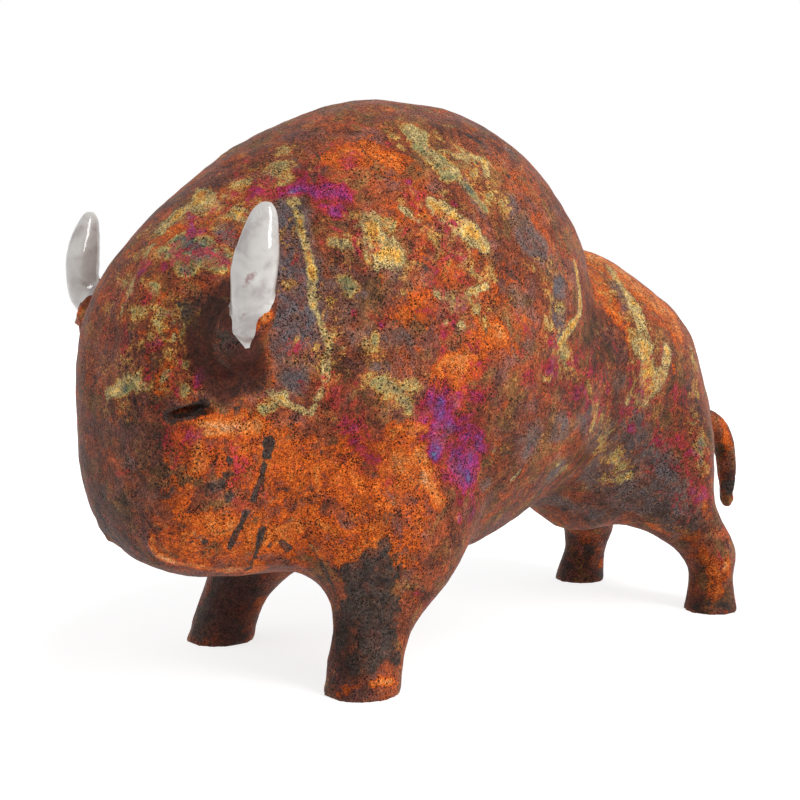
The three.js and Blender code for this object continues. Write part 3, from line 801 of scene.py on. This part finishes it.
class Shop:
    # one material's nodes, with short ways to add them
    def __init__(self, name):
        self.material = bpy.data.materials.new(name)
        self.material.use_nodes = True
        self.tree = self.material.node_tree
        self.shader = self.tree.nodes["Principled BSDF"]
        self.places = self.tree.nodes.new("ShaderNodeTexCoord").outputs["Object"]

    def plug(self, value, socket):
        if isinstance(value, bpy.types.NodeSocket):
            self.tree.links.new(value, socket)
        else:
            socket.default_value = value

    def noise(self, size, detail=2.0, roughness=0.5, distortion=0.0, shift=(0, 0, 0)):
        mapping = self.tree.nodes.new("ShaderNodeMapping")
        mapping.inputs["Location"].default_value = shift
        self.tree.links.new(self.places, mapping.inputs["Vector"])
        node = self.tree.nodes.new("ShaderNodeTexNoise")
        self.tree.links.new(mapping.outputs[0], node.inputs["Vector"])
        node.inputs["Scale"].default_value = 1 / size
        node.inputs["Detail"].default_value = detail
        node.inputs["Roughness"].default_value = roughness
        node.inputs["Distortion"].default_value = distortion
        return node.outputs["Fac"]

    def cells(self, size, feature="F1", output="Distance"):
        node = self.tree.nodes.new("ShaderNodeTexVoronoi")
        node.feature = feature
        self.tree.links.new(self.places, node.inputs["Vector"])
        node.inputs["Scale"].default_value = 1 / size
        return node.outputs[output]

    def attribute(self, name):
        node = self.tree.nodes.new("ShaderNodeAttribute")
        node.attribute_name = name
        return node.outputs["Fac"]

    def math(self, operation, first, second=0.0, third=0.0, clamp=False):
        node = self.tree.nodes.new("ShaderNodeMath")
        node.operation = operation
        node.use_clamp = clamp
        for value, socket in zip((first, second, third), node.inputs):
            self.plug(value, socket)
        return node.outputs[0]

    def spread(self, value, low, high, least=0.0, most=1.0):
        node = self.tree.nodes.new("ShaderNodeMapRange")
        node.interpolation_type = "SMOOTHSTEP"
        for socket, number in zip(node.inputs, (value, low, high, least, most)):
            self.plug(number, socket)
        return node.outputs[0]

    def ramp(self, value, stops):
        node = self.tree.nodes.new("ShaderNodeValToRGB")
        elements = node.color_ramp.elements
        while len(elements) < len(stops):
            elements.new(0.5)
        for element, (place, colour) in zip(elements, stops):
            element.position = place
            element.color = linear(*colour)
        self.plug(value, node.inputs[0])
        return node.outputs[0]

    def mix(self, share, first, second, blend="MIX"):
        node = self.tree.nodes.new("ShaderNodeMix")
        node.data_type = "RGBA"
        node.blend_type = blend
        self.plug(share, node.inputs["Factor"])
        self.plug(first, node.inputs[6])
        self.plug(second, node.inputs[7])
        return node.outputs[2]

    def bump(self, height, strength, distance, normal=None):
        node = self.tree.nodes.new("ShaderNodeBump")
        node.inputs["Strength"].default_value = strength
        node.inputs["Distance"].default_value = distance
        self.plug(height, node.inputs["Height"])
        if normal:
            self.plug(normal, node.inputs["Normal"])
        return node.outputs[0]


# the colours of each run, and two more tempers of the copper ground that come and go over it
copperGlaze = {
    "ground": (
        (0.14, (66, 40, 32)), (0.28, (94, 50, 36)), (0.40, (124, 62, 40)), (0.50, (150, 74, 44)), (0.60, (176, 84, 46)),
        (0.72, (196, 98, 54)), (0.90, (206, 124, 84)),
    ),
    "mauve": ((0.10, (58, 38, 36)), (0.35, (100, 62, 56)), (0.60, (144, 94, 82)), (0.90, (190, 142, 122))),
    "tan": ((0.10, (58, 42, 28)), (0.35, (104, 72, 42)), (0.60, (156, 110, 62)), (0.90, (206, 164, 108))),
    "copper": (
        (0.30, (148, 58, 22)), (0.42, (182, 74, 20)), (0.54, (202, 90, 24)), (0.68, (214, 110, 40)), (0.84, (222, 134, 68)),
        (1.0, (232, 162, 112)),
    ),
    "ash": ((0.30, (130, 88, 72)), (0.50, (122, 94, 84)), (0.70, (110, 92, 88)), (0.90, (106, 96, 98))),
    "gold": (
        (0.34, (150, 96, 54)), (0.44, (152, 128, 84)), (0.54, (178, 158, 108)), (0.66, (210, 178, 112)), (0.78, (222, 168, 78)),
        (0.92, (214, 148, 60)),
    ),
    "film": (
        (0.36, (160, 80, 42)), (0.43, (182, 112, 52)), (0.50, (196, 150, 74)), (0.58, (184, 160, 102)),
        (0.66, (160, 148, 98)), (0.74, (138, 140, 88)), (0.80, (112, 128, 96)), (0.87, (108, 122, 110)),
        (0.94, (112, 104, 100)), (1.0, (98, 84, 96)),
    ),
    # smoke black, also used as painted shade
    "soot": ((0.30, (104, 64, 46)), (0.46, (82, 62, 52)), (0.60, (68, 56, 50)), (0.78, (82, 70, 64)), (0.92, (58, 49, 46))),
    "lustre": (
        (0.36, (160, 58, 32)), (0.45, (176, 50, 44)), (0.53, (168, 46, 70)), (0.65, (162, 50, 108)), (0.78, (128, 60, 128)),
        (0.90, (92, 86, 142)), (1.0, (112, 140, 158)),
    ),
    # the hollow run's colours are painted shade
    "hollow": ((0.30, (44, 28, 26)), (0.45, (64, 36, 30)), (0.56, (80, 41, 32)), (0.70, (58, 35, 34))),
    "grain": 0.0005,
    "pits": ((0.0008, 0.007, 0.46), (0.0019, 0.012, 0.30)),  # size, size of their clusters, deepest
}


def copperMaterial():
    shop = Shop("copperGlaze")
    broad = shop.noise(0.030, 4, 0.6, 0.5)
    patches = shop.noise(0.0065, 5, 0.68, 0.5, (3, 1, 2))
    flecks = shop.noise(0.0024, 3, 0.65, 0.2, (5, 7, 1))
    grain = shop.noise(copperGlaze["grain"], 2, 0.6, 0, (1, 9, 4))
    tone = shop.math("MULTIPLY_ADD", shop.attribute("copperRun"), 0.14, 0.46)
    # the dark run lowers the ground's tone: painted shade from the shade flashes, and the wine lustre's own darker
    # colour
    tone = shop.math("SUBTRACT", tone, shop.attribute("darkRun"))
    tone = shop.math("MULTIPLY_ADD", shop.math("SUBTRACT", broad, 0.5), 0.6, tone)
    tone = shop.math("MULTIPLY_ADD", shop.math("SUBTRACT", patches, 0.5), 0.9, tone)
    tone = shop.math("MULTIPLY_ADD", shop.math("SUBTRACT", flecks, 0.5), 0.4, tone)
    colour = shop.ramp(tone, copperGlaze["ground"])
    for temper, size, seed in (("mauve", 0.015, 21), ("tan", 0.012, 37)):
        share = shop.spread(shop.noise(size, 5, 0.66, 0.5, (seed, 3, seed)), 0.48, 0.62, 0, 0.8)
        colour = shop.mix(share, colour, shop.ramp(tone, copperGlaze[temper]))
    # painted shade: the same dark run darkens every run laid over the ground
    shade = shop.spread(shop.attribute("darkRun"), 0, 0.3, 1, 0.5)
    # where a run has its colour: how much strays, size of its edge, how broken, how soft, how it thins
    runs = (
        ("copper", 0.22, 0.008, 1.5, 0.10, 0.85), ("ash", 0.18, 0.012, 1.2, 0.20, 0.4),
        ("film", 0.20, 0.009, 1.4, 0.12, 0.55), ("gold", 0.17, 0.006, 1.5, 0.12, 0.6),
        ("lustre", 0.16, 0.011, 1.5, 0.12, 0.6), ("soot", 0.14, 0.007, 1.9, 0.09, 0.8),
    )
    for number, (run, stray, size, broken, soft, thinned) in enumerate(runs):
        edge = shop.noise(size, 8, 0.72, 0.7, (number * 9.1, 4, 2))
        value = shop.math("MAXIMUM", shop.attribute(run + "Run"), stray)
        value = shop.math("MULTIPLY_ADD", shop.math("SUBTRACT", edge, 0.5), broken, value)
        value = shop.math("MULTIPLY_ADD", shop.math("SUBTRACT", flecks, 0.5), 0.4, value)
        value = shop.math("MULTIPLY_ADD", shop.math("SUBTRACT", grain, 0.5), 0.25, value)
        laid = shop.ramp(value, copperGlaze[run])
        laid = shop.mix(1.0, laid, shop.spread(patches, 0.3, 0.7, 0.72, 1.2), "MULTIPLY")
        laid = shop.mix(1.0, laid, shade, "MULTIPLY")
        thin = shop.spread(shop.noise(size * 0.6, 4, 0.6, 0.5, (7, number * 3.3, 2)), 0.35, 0.6, thinned, 1)
        cover = shop.spread(value, 0.42 - soft, 0.42 + soft)
        colour = shop.mix(shop.math("MULTIPLY", cover, thin), colour, laid)
    # painted shade: the pressed hollows under the horns, the far legs and the shaded side of the face are laid smooth
    # and dark brown
    hollow = shop.attribute("hollowRun")
    hollowShade = shop.ramp(patches, copperGlaze["hollow"])
    colour = shop.mix(shop.spread(hollow, 0.1, 0.8, 0, 0.88), colour, hollowShade)
    # salt and pepper of the grog, then dark pits and chips
    pepper = shop.spread(grain, 0.34, 0.64, 0.36, 1.3)
    rugged = shop.spread(hollow, 0.2, 0.9, 0.9, 0.25)
    colour = shop.mix(rugged, colour, pepper, "MULTIPLY")
    mottle = shop.spread(shop.noise(0.0011, 2, 0.6, 0, (2, 2, 9)), 0.34, 0.66, 0.70, 1.26)
    colour = shop.mix(1.0, colour, mottle, "MULTIPLY")
    pit = 0.0
    for size, cluster, deepest in copperGlaze["pits"]:
        pitting = shop.spread(shop.noise(cluster, 3, 0.6, 0.4, (8, cluster * 800, 3)), 0.36, 0.64, 0.08, deepest)
        rim = shop.math("MULTIPLY", pitting, 0.45)
        hole = shop.math("SUBTRACT", 1.0, shop.spread(shop.cells(size), rim, pitting), clamp=True)
        pit = shop.math("MAXIMUM", hole, pit)
    pit = shop.math("MULTIPLY", pit, rugged)
    colour = shop.mix(pit, colour, linear(24, 17, 15))
    shop.plug(colour, shop.shader.inputs["Base Color"])
    shop.plug(shop.math("MULTIPLY_ADD", patches, 0.3, 0.36), shop.shader.inputs["Roughness"])
    shop.shader.inputs["Metallic"].default_value = 0.03
    shop.shader.inputs["Specular IOR Level"].default_value = 0.10
    relief = shop.math("MULTIPLY_ADD", grain, 0.35, shop.math("MULTIPLY_ADD", flecks, 0.65, shop.math("MULTIPLY", pit, -0.8)))
    shop.plug(shop.bump(relief, 0.8, 0.0011), shop.shader.inputs["Normal"])
    return shop.material


def whiteMaterial():
    shop = Shop("whiteGlaze")
    cloud = shop.noise(0.010, 3, 0.55, 0.6)
    colour = shop.ramp(cloud, ((0.35, (160, 152, 150)), (0.5, (186, 181, 177)), (0.65, (198, 195, 191))))
    vein = shop.spread(shop.cells(0.009, "DISTANCE_TO_EDGE"), 0.0, 0.035, 1.0, 0.0)
    vein = shop.math("MULTIPLY", vein, shop.spread(shop.noise(0.012, 2, 0.5, 0, (4, 4, 1)), 0.45, 0.65))
    colour = shop.mix(shop.math("MULTIPLY", vein, 0.35), colour, linear(138, 116, 114))
    stain = shop.math("MULTIPLY_ADD", shop.math("SUBTRACT", shop.noise(0.002, 3, 0.6), 0.5), 1.6, shop.attribute("veinRun"))
    colour = shop.mix(shop.spread(stain, 0.3, 0.9, 0, 0.85), colour, linear(138, 100, 98))
    shop.plug(colour, shop.shader.inputs["Base Color"])
    shop.shader.inputs["Roughness"].default_value = 0.12
    shop.shader.inputs["Coat Weight"].default_value = 0.4
    shop.shader.inputs["Coat Roughness"].default_value = 0.05
    shop.plug(shop.bump(shop.noise(0.005, 2, 0.5), 0.25, 0.0006), shop.shader.inputs["Normal"])
    return shop.material


def clayMaterial():
    shop = Shop("smokedClay")
    colour = shop.ramp(shop.noise(0.006, 4, 0.6), ((0.3, (58, 46, 40)), (0.7, (104, 84, 70))))
    shop.plug(colour, shop.shader.inputs["Base Color"])
    shop.shader.inputs["Roughness"].default_value = 0.9
    shop.plug(shop.bump(shop.noise(0.0012, 2, 0.6), 0.6, 0.0005), shop.shader.inputs["Normal"])
    return shop.material


copper, white, rawClay = copperMaterial(), whiteMaterial(), clayMaterial()
for name, piece in pieces.items():
    piece.data.materials.clear()
    piece.data.materials.append(white if name.endswith("Horn") else copper)
for name in nodes:
    if name.endswith("coil"):
        nodes[name].data.materials.clear()
        nodes[name].data.materials.append(rawClay)
print("glazes mixed")


# ---- floor, light and the white studio
studio = {
    "floorSize": 6,
    "keyPlace": (1.0, 0.2, 0.85),
    "keySize": (0.35, 1.1),
    "keyPower": 11.4,
    "fillPlace": (-0.6, -1.2, 0.7),
    "fillSize": (1.2, 1.2),
    "fillPower": 1.9,
    "worldLight": 0.12,
    "shadowRadius": (0.16, 0.27),  # the floor shows shadow up to here and is plain white beyond
    "shadowShare": 0.42,
}


def seenDirectly(tree):
    # 1 for what the camera sees by itself, mirrored in a glaze or through glass
    rays = tree.nodes.new("ShaderNodeLightPath")
    total = 0.0
    for kind in ("Is Camera Ray", "Is Glossy Ray", "Is Transmission Ray"):
        most = tree.nodes.new("ShaderNodeMath")
        most.operation = "MAXIMUM"
        tree.links.new(rays.outputs[kind], most.inputs[0])
        if total:
            tree.links.new(total, most.inputs[1])
        total = most.outputs[0]
    return total


bm = bmesh.new()
bmesh.ops.create_grid(bm, x_segments=1, y_segments=1, size=studio["floorSize"] / 2)
floor = makeObject("floor", bm)
floorMaterial = bpy.data.materials.new("studioFloor")
floorMaterial.use_nodes = True
tree = floorMaterial.node_tree
tree.nodes.clear()
output = tree.nodes.new("ShaderNodeOutputMaterial")
shadowed = tree.nodes.new("ShaderNodeMixShader")
radius = tree.nodes.new("ShaderNodeVectorMath")
radius.operation = "LENGTH"
tree.links.new(tree.nodes.new("ShaderNodeTexCoord").outputs["Object"], radius.inputs[0])
fade = tree.nodes.new("ShaderNodeMapRange")
fade.interpolation_type = "SMOOTHSTEP"
fade.inputs["From Min"].default_value, fade.inputs["From Max"].default_value = studio["shadowRadius"]
fade.inputs["To Min"].default_value = 1 - studio["shadowShare"]
tree.links.new(radius.outputs["Value"], fade.inputs["Value"])
tree.links.new(fade.outputs[0], shadowed.inputs[0])
diffuse = tree.nodes.new("ShaderNodeBsdfDiffuse")
diffuse.inputs["Color"].default_value = (0.9, 0.9, 0.9, 1)
glow = tree.nodes.new("ShaderNodeEmission")
glow.inputs["Strength"].default_value = 1.35
shown = tree.nodes.new("ShaderNodeMixShader")
tree.links.new(diffuse.outputs[0], shadowed.inputs[1])
tree.links.new(glow.outputs[0], shadowed.inputs[2])
tree.links.new(seenDirectly(tree), shown.inputs[0])
tree.links.new(diffuse.outputs[0], shown.inputs[1])
tree.links.new(shadowed.outputs[0], shown.inputs[2])
tree.links.new(shown.outputs[0], output.inputs["Surface"])
floor.data.materials.append(floorMaterial)

world = bpy.data.worlds.new("studioWorld")
scene.world = world
world.use_nodes = True
tree = world.node_tree
tree.nodes.clear()
output = tree.nodes.new("ShaderNodeOutputWorld")
shown = tree.nodes.new("ShaderNodeBackground")
shown.inputs["Color"].default_value = (1, 1, 1, 1)
lighting = tree.nodes.new("ShaderNodeBackground")
lighting.inputs["Color"].default_value = (1, 1, 1, 1)
lighting.inputs["Strength"].default_value = studio["worldLight"]
both = tree.nodes.new("ShaderNodeMixShader")
tree.links.new(seenDirectly(tree), both.inputs[0])
tree.links.new(lighting.outputs[0], both.inputs[1])
tree.links.new(shown.outputs[0], both.inputs[2])
tree.links.new(both.outputs[0], output.inputs["Surface"])


def addLamp(name, place, target, size, power):
    lampData = bpy.data.lights.new(name, "AREA")
    lampData.shape = "RECTANGLE"
    lampData.size, lampData.size_y = size
    lampData.energy = power
    lamp = bpy.data.objects.new(name, lampData)
    lamp.location = place
    lamp.rotation_euler = (Vector(target) - Vector(place)).to_track_quat("-Z", "Y").to_euler()
    scene.collection.objects.link(lamp)
    return lamp


addLamp("keyLamp", studio["keyPlace"], (0, 0, 0.1), studio["keySize"], studio["keyPower"])
addLamp("fillLamp", studio["fillPlace"], (0, 0, 0.1), studio["fillSize"], studio["fillPower"])
scene.view_settings.view_transform = "Standard"

replaced = {
    "head": "head_shell",
    "beard": "beard_base",
    "hump": "hump_shell",
    "rump": "rump_shell",
    "frontLeftLeg": "front_left_leg",
    "frontRightLeg": "front_right_leg",
    "hindLeftLeg": "hind_left_leg",
    "hindRightLeg": "hind_right_leg",
    "leftSocket": "left_horn_socket",
    "rightSocket": "right_horn_socket",
    "leftHorn": "left_horn",
    "rightHorn": "right_horn",
    "tail": "tail",
}
for name, piece in pieces.items():
    piece.data.shade_smooth()
    piece.data.set_sharp_from_angle(angle=math.radians(seams["sharpAngle"]))
    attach(piece, "root")
    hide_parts(replaced[name])
